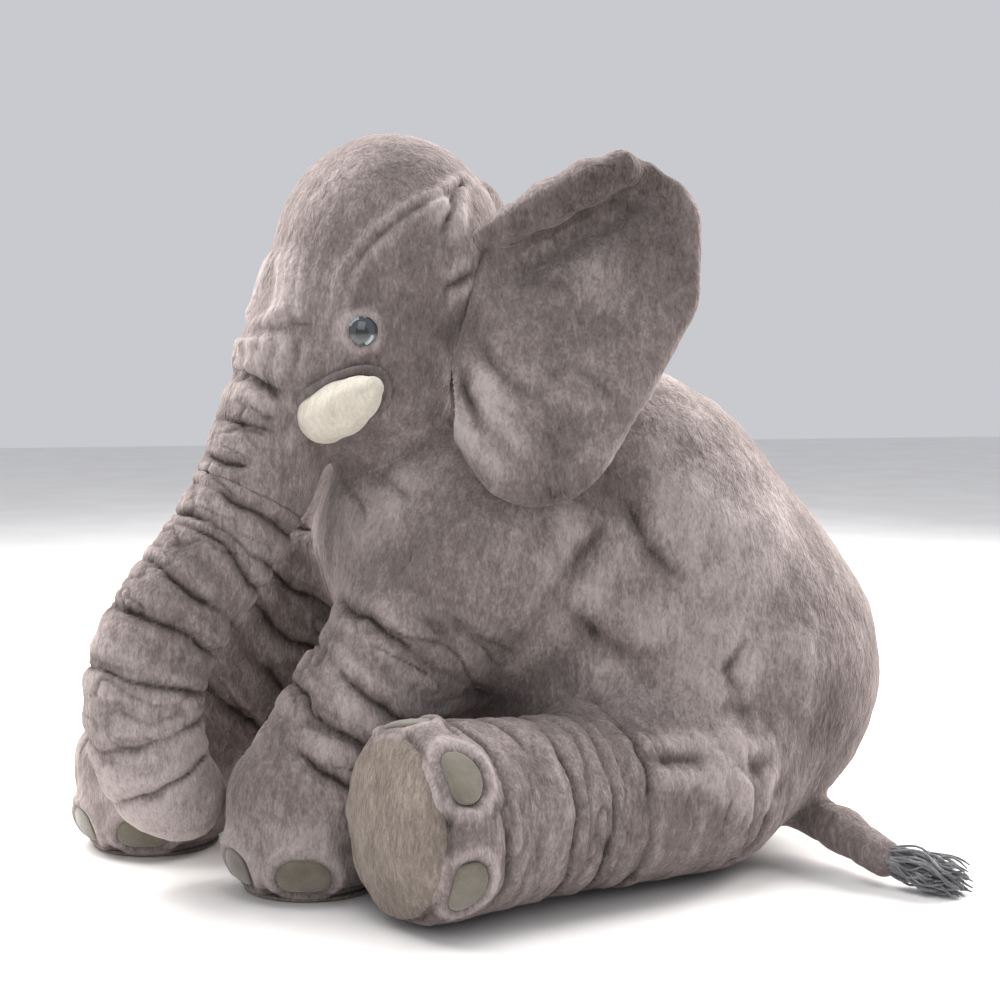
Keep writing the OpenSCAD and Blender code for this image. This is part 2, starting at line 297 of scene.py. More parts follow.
def hull_outline():
    """Convex outline round the ear's discs, as a closed list of points."""
    pts = np.array([(x + r * math.cos(a), y + r * math.sin(a))
                    for x, y, r in EAR_DISCS for a in np.linspace(0, 2 * math.pi, 72, endpoint=False)])
    pts = pts[np.lexsort((pts[:, 1], pts[:, 0]))]

    def half(seq):
        out = []
        for q in seq:
            while len(out) > 1 and np.cross(out[-1] - out[-2], q - out[-2]) <= 0:
                out.pop()
            out.append(q)
        return out[:-1]
    return np.array(half(pts) + half(pts[::-1]))


OUTLINE = hull_outline()


def outline_distance(x, y):
    """Signed distance to the convex outline, negative inside."""
    a, b = OUTLINE, np.roll(OUTLINE, -1, axis=0)
    inside = np.full(len(x), -1e9)
    away = np.full(len(x), 1e9)
    for (ax, ay), (bx, by) in zip(a, b):
        ex, ey = bx - ax, by - ay
        length = math.hypot(ex, ey)
        if length < 1e-6:
            continue
        side = ((x - ax) * ey - (y - ay) * ex) / length
        t = np.clip(((x - ax) * ex + (y - ay) * ey) / length ** 2, 0, 1)
        inside = np.maximum(inside, side)
        away = np.minimum(away, np.hypot(x - ax - t * ex, y - ay - t * ey))
    return np.where(inside < 0, -away, away)


RIM = [(-2, 40, 4), (20, 47, 14), (48, 62, 20), (80, 79, 21), (104, 91, 17), (122, 93, 6)]
RIM_R = [9, 13, 16, 17, 14, 6]


def below_rim(u, v):
    """How far a point of the ear lies below the line of its rolled rim."""
    return (38 + 0.52 * u) - v


def ear(p, side):
    e = to_ear(p, side)
    u, v = e[:, 0], e[:, 1]
    g = below_rim(u, v)
    inner = np.clip(u / 30, 0, 1) * np.clip((150 - u) / 50, 0, 1)
    dish = -13 * np.exp(-(((g - 28) / 22) ** 2)) * inner
    dish += -6 * np.exp(-(((u - 80) / 50) ** 2 + ((v + 10) / 50) ** 2))
    dish += 9 * np.exp(-(((u - 12) / 26) ** 2 + ((v + 125) / 46) ** 2))
    dish += 4 * np.exp(-(((u - 120) / 30) ** 2 + ((v + 60) / 60) ** 2))
    w = e[:, 2] - dish
    edge = outline_distance(u, v) + 2
    thick = EAR_T / 2 + 4.0 * np.clip(-edge / 45, 0, 1) ** 0.6
    slab = smax(edge, np.abs(w) - thick, 11.0)
    return smin(slab, chain(e, RIM, RIM_R, 8.0), 2.5 + 14 * np.clip((u - 88) / 30, 0, 1))


# ---- Relief: folds, rings, seams and tufts, as heights along the surface normal ----


def valley(x, depth, width, puff):
    """A stitched or folded line: a narrow valley with soft shoulders beside it."""
    x = np.abs(x)
    return depth * (puff * np.exp(-((x - 3.2 * width) / (2.2 * width)) ** 2)
                    - 0.65 * np.exp(-(x / (0.55 * width)) ** 1.3) - 0.35 * np.exp(-x / (2.0 * width)))


def crease(p, points, depth, width, bulge=0.3):
    s, r, _ = near(p, points)
    total = sum(np.linalg.norm(arr(b) - arr(a)) for a, b in zip(points, points[1:]))
    fade = np.clip(np.minimum(s, total - s) / (0.2 * total), 0, 1) ** 0.7
    far_end = (s <= 0) | (s >= total)
    fade = np.where(far_end, 0.0, fade)
    return fade * valley(r + 1.2 * (noise(p / 11.0) - 0.5) * (r < 4 * width), depth, width, bulge)


def rings(p, path, marks, depth, width, wobble, key, low=0.3):
    s, _, d = near(p, path)
    out = np.zeros(len(p))
    for i, mark in enumerate(marks):
        shift = wobble * (2 * noise(d * 1.2 + key + 5.7 * i) - 1) + 0.25 * wobble * (2 * noise(p / 13.0 + i) - 1)
        force = low + (1 - low) * np.clip(3.0 * noise(d * 1.6 + key + 3.1 * i + 40) - 0.9, 0, 1)
        out += force * valley(np.abs(s - mark - shift), depth, width, 0.32)
    return out


def wrinkles(p, path, depth, key, spacing=15.0):
    """Short uneven wrinkles lying round a limb."""
    s, _, d = near(p, path)
    along = unit(arr(path[-1]) - arr(path[0]))
    c = d * 1.5 + (s / spacing)[:, None] * along + key
    n = 0.7 * noise(c) + 0.3 * noise(c * 2.1 + 9)
    line = np.clip(1 - np.abs(n - 0.5) / 0.075, 0, 1)
    deep = np.clip(2.2 * noise(c * 0.45 + 31) - 0.5, 0, 1)
    return -depth * deep * line ** 1.2 + 0.9 * depth * (n - 0.5)


def tufts(p, height=0.5):
    """Clumped pile over soft lumps of filling."""
    return height * cloud(p * (1, 1, 0.6), 5.5, 2) + 0.8 * cloud(p, 17.0, 2) + 1.5 * cloud(p, 62.0, 2)


GUSSET = arr([
    (60, 71, 560), (69, 40, 541), (84, 8, 524), (86, -12, 517), (85, -27, 507), (82, -40, 496), (77, -50, 485),
    (73, -57, 475), (70, -62, 465), (67, -65, 453), (66, -67, 443), (64, -70, 432), (62, -72, 421), (58, -79, 403)])
TUCKS = [
    [(4, -93, 492), (14, -99, 471), (21, -104, 455), (26, -108, 440), (27, -112, 427)],
    [(14, -92, 492), (21, -97, 471), (27, -101, 455), (31, -105, 440), (32, -109, 427)],
    [(25, -89, 490), (30, -94, 470), (34, -98, 455), (37, -101, 440), (38, -104, 427)],
    [(33, -87, 488), (36, -91, 470), (39, -94, 455), (42, -96, 440), (45, -97, 427)]]
FRONT_CREASE = [
    (-57, -80, 428), (-43, -98, 431), (-25, -114, 427), (0, -122, 426), (25, -114, 427), (43, -98, 431), (57, -80, 428)]


EAR_FOLDS = [
    [(88, 22, 525), (92, 10, 508), (93, 0, 492)], [(80, 30, 540), (86, 14, 520), (88, 2, 505)],
    [(94, 34, 470), (97, 18, 462), (97, 4, 456)], [(92, 30, 400), (92, 14, 396), (90, 0, 392)],
    [(88, 10, 352), (80, 0, 342), (68, -12, 334)]]
MUZZLE_FOLDS = [
    [(8, -122, 420), (10, -124, 408), (8, -126, 394)], [(24, -116, 420), (24, -120, 408), (20, -124, 392)],
    [(38, -106, 420), (36, -111, 408), (31, -116, 393)], [(50, -94, 420), (50, -98, 404), (46, -102, 390)]]


def mirrored(points):
    return arr(points) * (-1, 1, 1)


def head_relief(p):
    q = to_head(p)
    h = tufts(p) + 1.6 * cloud(p, 38.0, 2)
    for pts in (GUSSET, mirrored(GUSSET)):
        h += crease(q, pts, 5.5, 1.9, 0.35)
    for pts in TUCKS:
        h += crease(q, pts, 4.5, 1.8, 0.5) + crease(q, mirrored(pts), 4.5, 1.8, 0.5)
    h += crease(q, FRONT_CREASE, 4.6, 3.0, 0.5)
    for pts in EAR_FOLDS + MUZZLE_FOLDS:
        h += crease(q, pts, 4.5, 2.8, 0.5) + crease(q, mirrored(pts), 4.5, 2.8, 0.5)
    for side in (1, -1):
        eye = arr((side * 73.7, -51.6, 424))
        r = np.linalg.norm(q - eye, axis=1)
        h += 2.6 * np.exp(-((r - 16) / 3.5) ** 2) - 1.5 * np.exp(-(r / 10) ** 2)
        lid = arr([(62, -68, 441), (74, -58, 444), (86, -40, 441), (92, -22, 434)]) * (side, 1, 1)
        h += crease(q, lid, 1.6, 2.4)
    return h


TRUNK_MARKS = [26, 52, 80, 108, 137, 150, 184, 219, 256, 296, 335]


def trunk_relief(p):
    q = to_head(p)
    h = tufts(p)
    h += rings(q, TRUNK_PATH, TRUNK_MARKS, 5.2, 3.0, 8.0, 3.0, 0.35)
    h += wrinkles(q, TRUNK_PATH, 2.2, 4.0, 13.0) * np.clip((p[:, 2] - 50) / 110, 0.15, 1)
    h += crease(q, [(0, -150, 190), (0, -162, 155), (0, -158, 118), (0, -150, 92)], 2.6, 2.2)
    return h


def length_of(path):
    return float(np.linalg.norm(np.diff(arr(path), axis=0), axis=1).sum())


NAIL_TURNS = (-12, -72, -132)
HIND_TURNS = (-115, -52, 11)
NAIL_IN = 22  # from the ground or the sole to the middle of a nail
HIND_FOOT_R = 72.0


def d_shape(a, b):
    """Signed distance, in about mm, to a D with its flat side down."""
    r = np.sqrt((a / 21) ** 2 + ((b + 2) / 17) ** 2)
    return smax((r - 1) * 17, -b - 13, 5.0)


def fore_nail(p, i, turn):
    d = p - FORE_FOOT[i]
    phi = np.arctan2(d[:, 1], d[:, 0]) - math.radians(turn)
    phi = (phi + math.pi) % (2 * math.pi) - math.pi
    out = d_shape(phi * FOOT_R, d[:, 2] - NAIL_IN)
    return np.where(np.abs(phi) < 1, out, 50.0)


def hind_frame(i):
    """A hind leg's line, and the two directions across it that its nails are turned in."""
    axis = unit(HIND_END[i] - HIP[i])
    tilt, heading = math.acos(axis[2]), math.atan2(axis[1], axis[0])
    down = arr((math.cos(heading) * math.cos(tilt), math.sin(heading) * math.cos(tilt), -math.sin(tilt)))
    return axis, down, arr((-math.sin(heading), math.cos(heading), 0))


def hind_angle(i, turn):
    return math.radians(180 + (1 if i == 0 else -1) * turn)


def hind_nail(p, i, turn):
    axis, down, across = hind_frame(i)
    d = p - HIND_END[i]
    along_leg = d @ axis
    phi = np.arctan2(d @ across, d @ down) - hind_angle(i, turn)
    phi = (phi + math.pi) % (2 * math.pi) - math.pi
    out = d_shape(phi * HIND_FOOT_R, -along_leg - NAIL_IN)
    return np.where((np.abs(phi) < 1) & (along_leg > -90), out, 50.0)


def rimmed(edge):
    """Height of the raised pile round a nail, with the nail's bed sunk in it."""
    return 3.2 * np.exp(-((edge - 5) / 4.2) ** 2) - 2.2 / (1 + np.exp(np.clip((edge - 0.2) / 1.1, -30, 30)))


def fore_relief(i):
    path = fore_path(i)
    total = length_of(path)
    marks = [96, 132, 166, 199] if i == 0 else [60, 96, 131, 166, 200]

    def relief(p):
        h = tufts(p)
        low = np.clip((p[:, 2] - 60) / 30, 0, 1)
        high = np.clip((245 - p[:, 2]) / 50, 0.15, 1)
        h += low * rings(p, path, marks, 5.5, 3.4, 12.0, 9.0 + 5 * i, 0.15)
        h += low * high * wrinkles(p, path, 2.8, 5.0 + i, 15.0)
        foot = FORE_FOOT[i]
        out = np.hypot(p[:, 0] - foot[0], p[:, 1] - foot[1])
        h -= 2.4 * np.exp(-np.abs(p[:, 2] - 7 - 1.5 * cloud(p, 40)) / 2.0) * (out > 0.8 * FOOT_R)
        h += 3.5 * np.exp(-((p[:, 2] - 50) / 26) ** 2) * (0.5 + cloud(p + 90, 34))
        for turn in NAIL_TURNS:
            h += rimmed(fore_nail(p, i, turn))
        return h
    return relief


STAR = arr((149, 171, 92))
STAR_RAYS = [(136, 168, 131), (160, 140, 112), (183, 80, 108), (150, 176, 52), (168, 130, 84), (135, 195, 100)]


def hind_relief(i):
    path = hind_path(i)
    side = 1 if i == 0 else -1

    def relief(p):
        h = tufts(p)
        h += rings(p, path, [99, 134, 168, 201, 229], 4.0, 3.0, 9.0, 21.0 + 4 * i, 0.15)
        h += wrinkles(p, path, 2.6, 7.0 + i, 14.0)
        q = p * (side, 1, 1)
        for ray in STAR_RAYS:
            mid = (STAR + arr(ray)) / 2 + (2, 0, 3)
            h += crease(q, [STAR + (mid - STAR) * 0.15, mid, arr(ray)], 8.0, 4.2, 0.4)
        h -= 5.0 * np.exp(-(np.linalg.norm(q - STAR, axis=1) / 9) ** 2)
        for turn in HIND_TURNS:
            h += rimmed(hind_nail(p, i, turn))
        axis = unit(HIND_END[i] - HIP[i])
        x = (p - HIND_END[i]) @ axis
        h -= 2.6 * np.exp(-np.abs(x + 5) / 2.0)
        return h
    return relief


BODY_FOLDS = [
    ([(118, 68, 280), (116, 37, 240), (111, 4, 206), (110, -18, 179), (102, -33, 152)], 10.0, 6.5),
    ([(131, 176, 190), (136, 158, 166), (138, 168, 146)], 6.5, 4.5),
    ([(128, 120, 150), (136, 150, 138), (140, 180, 132)], 7.0, 5.0),
    ([(118, 84, 300), (124, 100, 262), (128, 128, 232)], 5.0, 6.0),
    ([(112, 20, 236), (122, 60, 196), (126, 96, 170)], 4.5, 6.0),
    ([(92, 200, 330), (112, 226, 270), (118, 240, 200)], 3.5, 5.0),
    ([(64, 150, 384), (92, 176, 350), (112, 190, 300)], 3.5, 5.0),
    ([(96, 120, 372), (118, 120, 320), (126, 130, 290)], 2.2, 4.0),
    ([(32, -119, 308), (58, -111, 295), (76, -102, 273)], 3.0, 3.5),
    ([(60, -100, 320), (88, -80, 300), (106, -60, 276)], 3.0, 3.5),
]


def torso_relief(p):
    h = tufts(p) + 2.2 * cloud(p, 34.0, 2) + 4.0 * cloud(p, 95.0, 2)
    for pts, depth, width in BODY_FOLDS:
        h += crease(p, pts, depth, width) + crease(p, mirrored(pts), depth, width)
    h += crease(p, [(0, 40, 401), (0, 130, 392), (0, 230, 330), (0, 300, 240), (0, 333, 150), (0, 320, 70)], 2.0, 2.2)
    return h


# Each crease of an ear: its points (u, v), depth, width and the puff beside it
EAR_CREASES = [
    ([(14, 29), (30, 35), (55, 47), (90, 66), (112, 80)], 6.5, 2.4, 0.1),
    ([(-18, -60), (-14, -84), (-3, -108), (12, -127), (30, -146)], 6.5, 4.2, 0.6),
    ([(-6, -40), (6, -62), (20, -78), (40, -92)], 3.0, 3.5, 0.5),
    ([(30, 10), (62, 2), (96, 8)], 1.8, 4.0, 0.4),
    ([(60, -60), (84, -74), (100, -96)], 1.8, 4.0, 0.4),
]


def ear_relief(side):
    def relief(p):
        e = to_ear(p, side)
        h = tufts(p)
        front = e[:, 2] > 0
        for line, depth, width, puff in EAR_CREASES:
            line = [(u, v, 12.0) for u, v in line]
            h += front * crease(e, line, depth, width, puff)
        h += 2.4 * cloud(p + 400, 46.0, 2)
        edge = outline_distance(e[:, 0], e[:, 1])
        h -= 1.6 * np.exp(-np.abs(edge + 4) / 1.6) * (~front)
        return h
    return relief


def ear_painted_shade_and_lobe_tone(p, side):
    """Painted shade in the hollow under the rolled rim, and a lighter tone on the lower lobe."""
    e = to_ear(p, side)
    g = below_rim(e[:, 0], e[:, 1])
    painted_rim_shade = np.where((g > -6) & (e[:, 2] > -2), np.exp(-((g - 6) / 24) ** 2), 0)
    lobe = np.exp(-(((e[:, 0] + 8) / 22) ** 2 + ((e[:, 1] + 92) / 40) ** 2))
    return 0.14 * lobe - 0.16 * painted_rim_shade


def tail_relief(p):
    return 0.7 * tufts(p) + rings(p, [TAIL_ROOT, TAIL_TIP], [30, 52, 76], 1.4, 2.5, 3.0, 31.0)


# ---- Meshes ----


def nets(field, low, high, step):
    """Points and quads of the zero surface of a distance field, by surface nets."""
    low = arr(low)
    block = 4
    coarse = [int(math.ceil((high[i] - low[i]) / (step * block))) + 1 for i in range(3)]
    index = np.stack(np.meshgrid(*[np.arange(n + 1) for n in coarse], indexing="ij"), -1)
    rough = field(low + index.reshape(-1, 3) * (step * block)).reshape([n + 1 for n in coarse])
    close = np.zeros(coarse, bool)
    for i in (0, 1):
        for j in (0, 1):
            for k in (0, 1):
                part = rough[i:i + coarse[0], j:j + coarse[1], k:k + coarse[2]]
                close |= np.abs(part) < 2.4 * step * block

    def spread(a):
        return a.repeat(block, 0).repeat(block, 1).repeat(block, 2)
    shape = [n * block + 1 for n in coarse]
    d = np.full(shape, 1e3)
    d[:-1, :-1, :-1] = spread(rough[:-1, :-1, :-1])
    mask = np.zeros(shape, bool)
    wide = spread(close)
    for i in (0, 1):
        for j in (0, 1):
            for k in (0, 1):
                mask[i:i + shape[0] - 1, j:j + shape[1] - 1, k:k + shape[2] - 1] |= wide
    cells = np.argwhere(mask)
    d[mask] = field(low + cells * step)
    neg = d < 0
    n = [s - 1 for s in shape]
    corners = [(i, j, k) for i in (0, 1) for j in (0, 1) for k in (0, 1)]
    count = np.zeros(n, np.int8)
    for i, j, k in corners:
        count += neg[i:i + n[0], j:j + n[1], k:k + n[2]]
    cells = np.argwhere((count > 0) & (count < 8))
    number = np.full(n, -1, np.int64)
    number[tuple(cells.T)] = np.arange(len(cells))
    total = np.zeros((len(cells), 3))
    hits = np.zeros(len(cells))
    for a in corners:
        for axis in range(3):
            if a[axis]:
                continue
            b = list(a)
            b[axis] = 1
            da = d[tuple((cells + a).T)]
            db = d[tuple((cells + b).T)]
            cut = (da < 0) != (db < 0)
            t = np.where(cut, da / np.where(cut, da - db, 1), 0)
            point = np.tile(arr(a), (len(cells), 1))
            point[:, axis] = t
            total[cut] += point[cut]
            hits[cut] += 1
    points = low + (cells + total / hits[:, None]) * step
    quads = []
    for axis in range(3):
        u, v = (axis + 1) % 3, (axis + 2) % 3
        start = [slice(1, s - 1) for s in shape]
        start[axis] = slice(0, shape[axis] - 1)
        end = list(start)
        end[axis] = slice(1, shape[axis])
        first, second = neg[tuple(start)], neg[tuple(end)]
        for flip in (False, True):
            edges = np.argwhere((first & ~second) if not flip else (~first & second))
            offset = np.ones(3, int)
            offset[axis] = 0
            base = edges + offset
            around = []
            for du, dv in ((1, 1), (0, 1), (0, 0), (1, 0)):
                cell = base.copy()
                cell[:, u] -= du
                cell[:, v] -= dv
                around.append(number[tuple(cell.T)])
            q = np.stack(around, 1)
            quads.append(q[:, ::-1] if flip else q)
    return points, np.concatenate(quads)


def slope(field, p):
    g = np.empty_like(p)
    for k in range(3):
        step = np.zeros(3)
        step[k] = 0.6
        g[:, k] = field(p + step) - field(p - step)
    return g / 1.2


def mesh_object(name, points, faces, material, smooth=True):
    mesh = bpy.data.meshes.new(name)
    mesh.from_pydata(row(points).tolist(), [], [list(map(int, f)) for f in faces])
    mesh.validate()
    mesh.update()
    mesh.materials.append(material)
    mesh.shade_smooth() if smooth else mesh.shade_flat()
    obj = bpy.data.objects.new(name, mesh)
    bpy.context.scene.collection.objects.link(obj)
    return obj


def float_attribute(obj, name, values):
    obj.data.attributes.new(name, "FLOAT", "POINT").data.foreach_set("value", np.asarray(values, np.float32))


def soft_piece(name, field, low, high, material, relief=None, step=3.0, floor=True, painted_shading_tone=None):
    """A closed soft piece on the zero surface of a field, with its relief pushed out of it."""
    points, faces = nets(field, low, high, step)
    for _ in range(2):
        g = slope(field, points)
        g2 = np.maximum((g ** 2).sum(1), 0.05)
        move = np.clip(field(points) / g2, -step, step)
        points = points - move[:, None] * g
    normal = slope(field, points)
    normal /= np.maximum(np.linalg.norm(normal, axis=1), 1e-6)[:, None]
    height = relief(points) if relief else np.zeros(len(points))
    points = points + normal * height[:, None]
    if floor:
        points[:, 2] = np.maximum(points[:, 2], 0.2)
    obj = mesh_object(name, points, faces, material)
    # Painted shade in the creases and painted light on the raised pile, taken from the relief height and added to the
    # tone field passed in.
    base = painted_shading_tone(points) if painted_shading_tone else np.zeros(len(points))
    float_attribute(obj, "painted_shading_tone", base + np.clip(height, -5, 3) * 0.075)
    return obj


# ---- Materials ----


def principled(name, rough, sheen=0.0, sheen_rough=0.5, specular=0.3):
    mat = bpy.data.materials.new(name)
    mat.use_nodes = True
    nodes, links = mat.node_tree.nodes, mat.node_tree.links
    bsdf = nodes["Principled BSDF"]
    bsdf.inputs["Roughness"].default_value = rough
    bsdf.inputs["Sheen Weight"].default_value = sheen
    bsdf.inputs["Sheen Roughness"].default_value = sheen_rough
    bsdf.inputs["Specular IOR Level"].default_value = specular
    return mat, nodes, links, bsdf


def linear(c):
    return tuple(x / 12.92 if x <= 0.04045 else ((x + 0.055) / 1.055) ** 2.4 for x in c) + (1.0,)


def noise_node(nodes, links, coords, scale, detail, stretch=(1, 1, 1), rough=0.55, distortion=0.0):
    mapping = nodes.new("ShaderNodeMapping")
    mapping.inputs["Scale"].default_value = stretch
    links.new(coords, mapping.inputs["Vector"])
    tex = nodes.new("ShaderNodeTexNoise")
    tex.inputs["Scale"].default_value = scale
    tex.inputs["Detail"].default_value = detail
    tex.inputs["Roughness"].default_value = rough
    tex.inputs["Distortion"].default_value = distortion
    links.new(mapping.outputs["Vector"], tex.inputs["Vector"])
    return tex.outputs["Fac"]


def math_node(nodes, links, op, a, b):
    node = nodes.new("ShaderNodeMath")
    node.operation = op
    for socket, value in zip(node.inputs, (a, b)):
        if isinstance(value, (int, float)):
            socket.default_value = value
        else:
            links.new(value, socket)
    return node.outputs[0]


def ramp_node(nodes, links, fac, stops):
    node = nodes.new("ShaderNodeValToRGB")
    ramp = node.color_ramp
    while len(ramp.elements) < len(stops):
        ramp.elements.new(0.5)
    for element, (pos, colour) in zip(ramp.elements, stops):
        element.position = pos
        element.color = linear(colour)
    links.new(fac, node.inputs[0])
    return node.outputs["Color"]


def bump(nodes, links, bsdf, heights):
    """A chain of bumps, each (height socket, strength, distance in m)."""
    normal = None
    for height, strength, distance in heights:
        node = nodes.new("ShaderNodeBump")
        node.inputs["Strength"].default_value = strength
        node.inputs["Distance"].default_value = distance
        links.new(height, node.inputs["Height"])
        if normal:
            links.new(normal, node.inputs["Normal"])
        normal = node.outputs["Normal"]
    links.new(normal, bsdf.inputs["Normal"])


def pile(name, dark, mid, light, sheen=0.6, depth=1.0):
    """Short brushed pile: a mottled nap, fine fibres and a soft sheen."""
    mat, nodes, links, bsdf = principled(name, 0.95, sheen, 0.45, 0.12)
    coords = nodes.new("ShaderNodeTexCoord").outputs["Object"]
    broad = noise_node(nodes, links, coords, 14, 3, (1, 1, 0.8), 0.6, 0.6)
    nap = noise_node(nodes, links, coords, 62, 4, (1, 1, 0.55), 0.62, 0.8)
    tufty = noise_node(nodes, links, coords, 190, 3, (1, 1, 0.45), 0.6, 0.5)
    fibre = noise_node(nodes, links, coords, 560, 2, (1, 1, 0.45), 0.6, 0.3)
    # Painted shading: the per-vertex tone attribute darkens or lightens the base colour before the noise layers are
    # added.
    painted_shading_tone = nodes.new("ShaderNodeAttribute")
    painted_shading_tone.attribute_name = "painted_shading_tone"
    shade = math_node(nodes, links, "SUBTRACT", painted_shading_tone.outputs["Fac"], 0.11)
    for layer, share in ((broad, 0.16), (nap, 0.22), (tufty, 0.44), (fibre, 0.40)):
        shade = math_node(nodes, links, "ADD", shade, math_node(nodes, links, "MULTIPLY", layer, share))
    links.new(ramp_node(nodes, links, shade, [(0.18, dark), (0.5, mid), (0.82, light)]), bsdf.inputs["Base Color"])
    bsdf.inputs["Sheen Tint"].default_value = linear(light)
    bump(nodes, links, bsdf, [(nap, 0.5 * depth, 0.006), (tufty, 0.6 * depth, 0.0026), (fibre, 0.7 * depth, 0.0011)])
    return mat


plush = pile("plush_grey", (0.25, 0.22, 0.212), (0.455, 0.414, 0.406), (0.66, 0.617, 0.606))
plush_light = pile("plush_light", (0.31, 0.28, 0.255), (0.47, 0.43, 0.40), (0.63, 0.59, 0.55), 0.6, 1.3)
cuff_pile = pile("cuff_pile", (0.26, 0.23, 0.225), (0.42, 0.385, 0.38), (0.58, 0.545, 0.535), 0.5, 0.8)
fleece = pile("cream_fleece", (0.66, 0.63, 0.57), (0.78, 0.75, 0.70), (0.88, 0.86, 0.82), 0.5, 0.8)


def plain_cloth(name, dark, mid, light, scale, sheen):
    mat, nodes, links, bsdf = principled(name, 0.9, sheen, 0.5, 0.15)
    coords = nodes.new("ShaderNodeTexCoord").outputs["Object"]
    broad = noise_node(nodes, links, coords, 60, 3)
    fine = noise_node(nodes, links, coords, scale, 3, (1, 1, 0.7))
    mix = math_node(nodes, links, "MULTIPLY", broad, 0.6)
    mix = math_node(nodes, links, "ADD", mix, math_node(nodes, links, "MULTIPLY", fine, 0.4))
    links.new(ramp_node(nodes, links, mix, [(0.25, dark), (0.5, mid), (0.75, light)]), bsdf.inputs["Base Color"])
    bump(nodes, links, bsdf, [(broad, 0.3, 0.002), (fine, 0.5, 0.0005)])
    return mat


velour = plain_cloth("velour_olive", (0.33, 0.31, 0.27), (0.42, 0.395, 0.35), (0.50, 0.475, 0.43), 1500, 0.5)
yarn = plain_cloth("yarn_grey", (0.28, 0.28, 0.29), (0.45, 0.45, 0.46), (0.64, 0.64, 0.65), 900, 0.4)


def eye_material():
    mat, nodes, links, bsdf = principled("eye_gloss", 0.07, 0.0, 0.5, 0.6)
    attribute = nodes.new("ShaderNodeAttribute")
    attribute.attribute_name = "tint"
    links.new(attribute.outputs["Color"], bsdf.inputs["Base Color"])
    bsdf.inputs["Coat Weight"].default_value = 1.0
    bsdf.inputs["Coat Roughness"].default_value = 0.03
    return mat


eye_gloss = eye_material()

# ---- Pieces ----


def finish_piece(obj, slot, fill, *nodes):
    if nodes:
        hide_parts(*nodes)


def skirted(own, other, k):
    """A limb's field with a fillet that dies out on its neighbour's surface."""
    return lambda p: smax(smin(other(p), own(p), k), own(p) - 0.94 * k, 2.0)


def carried(own_relief, own, other_relief, k):
    """A limb's relief that turns into its neighbour's across the fillet between them."""
    def relief(p):
        mine = np.clip(1 - (own(p) - 1.0) / (0.34 * k), 0, 1)
        return mine * own_relief(p) + (1 - mine) * (other_relief(p) + 0.3)
    return relief


HEAD_FILLET, TRUNK_FILLET, HIND_FILLET, TAIL_FILLET = 16.0, 20.0, 40.0, 12.0
FORE_FILLETS = (34.0, 22.0)

body = soft_piece("torso_plush", torso, (-152, -150, -6), (152, 345, 412), plush, torso_relief, 2.5)
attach(body, "torso")
finish_piece(body, "plush", 0.85, "torso_skin_left", "torso_skin_right", "torso_filling")

face = soft_piece("head_plush", skirted(head, torso, HEAD_FILLET), (-130, -230, 290), (135, 50, 592), plush,
                  carried(head_relief, head, torso_relief, HEAD_FILLET), 1.9)
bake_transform(face)
finish_piece(face, "plush", 0.9, "head_gusset", "head_side_left", "head_side_right", "head_filling")


# Painted light: the lower trunk's colour is lightened towards its tip.
def trunk_painted_light(p):
    return np.clip((215 - to_head(p)[:, 2]) / 160, 0, 1) * 0.28


CUT_A = arr((0, -116, 298))
CUT_DIR = unit((0, -20, -38))


def trunk_top(p):
    q = to_head(p)
    whole = skirted(trunk, head, TRUNK_FILLET)(p)
    return smax(whole, (q - CUT_A) @ CUT_DIR + 0.3, 4.0)


def trunk_low(p):
    q = to_head(p)
    return smax(trunk(p), -(q - CUT_A) @ CUT_DIR + 0.3, 4.0)


top = soft_piece("trunk_top_plush", trunk_top, from_head((0, 0, 0))[0] + arr((-70, -250, 275)),
                 (110, -30, 480), plush,
                 carried(trunk_relief, lambda p: trunk(to_head(p)), head_relief, TRUNK_FILLET), 1.9)
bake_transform(top)
finish_piece(top, "plush", 0.85, "trunk_upper_skin", "trunk_upper_filling")
low = soft_piece("trunk_low_plush", trunk_low, (-40, -345, 20), (125, -130, 330), plush,
                 trunk_relief, 1.9, painted_shading_tone=trunk_painted_light)
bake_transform(low)
finish_piece(low, "plush_light", 0.8, "trunk_lower_skin", "trunk_lower_filling")

for side, word in ((1, "left"), (-1, "right")):
    def ear_field(p, side=side):
        return ear(p, side)
    corners = np.array([from_ear((u, v, w), side) for u in (-12, 182) for v in (-186, 118) for w in (-26, 34)])
    obj = soft_piece(f"ear_{word}_plush", ear_field, corners.min(0), corners.max(0), plush, ear_relief(side), 2.0,
                     painted_shading_tone=lambda p, side=side: ear_painted_shade_and_lobe_tone(p, side))
    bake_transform(obj)
    finish_piece(obj, "plush", 0.35, f"ear_{word}_front", f"ear_{word}_back", f"ear_{word}_batting")

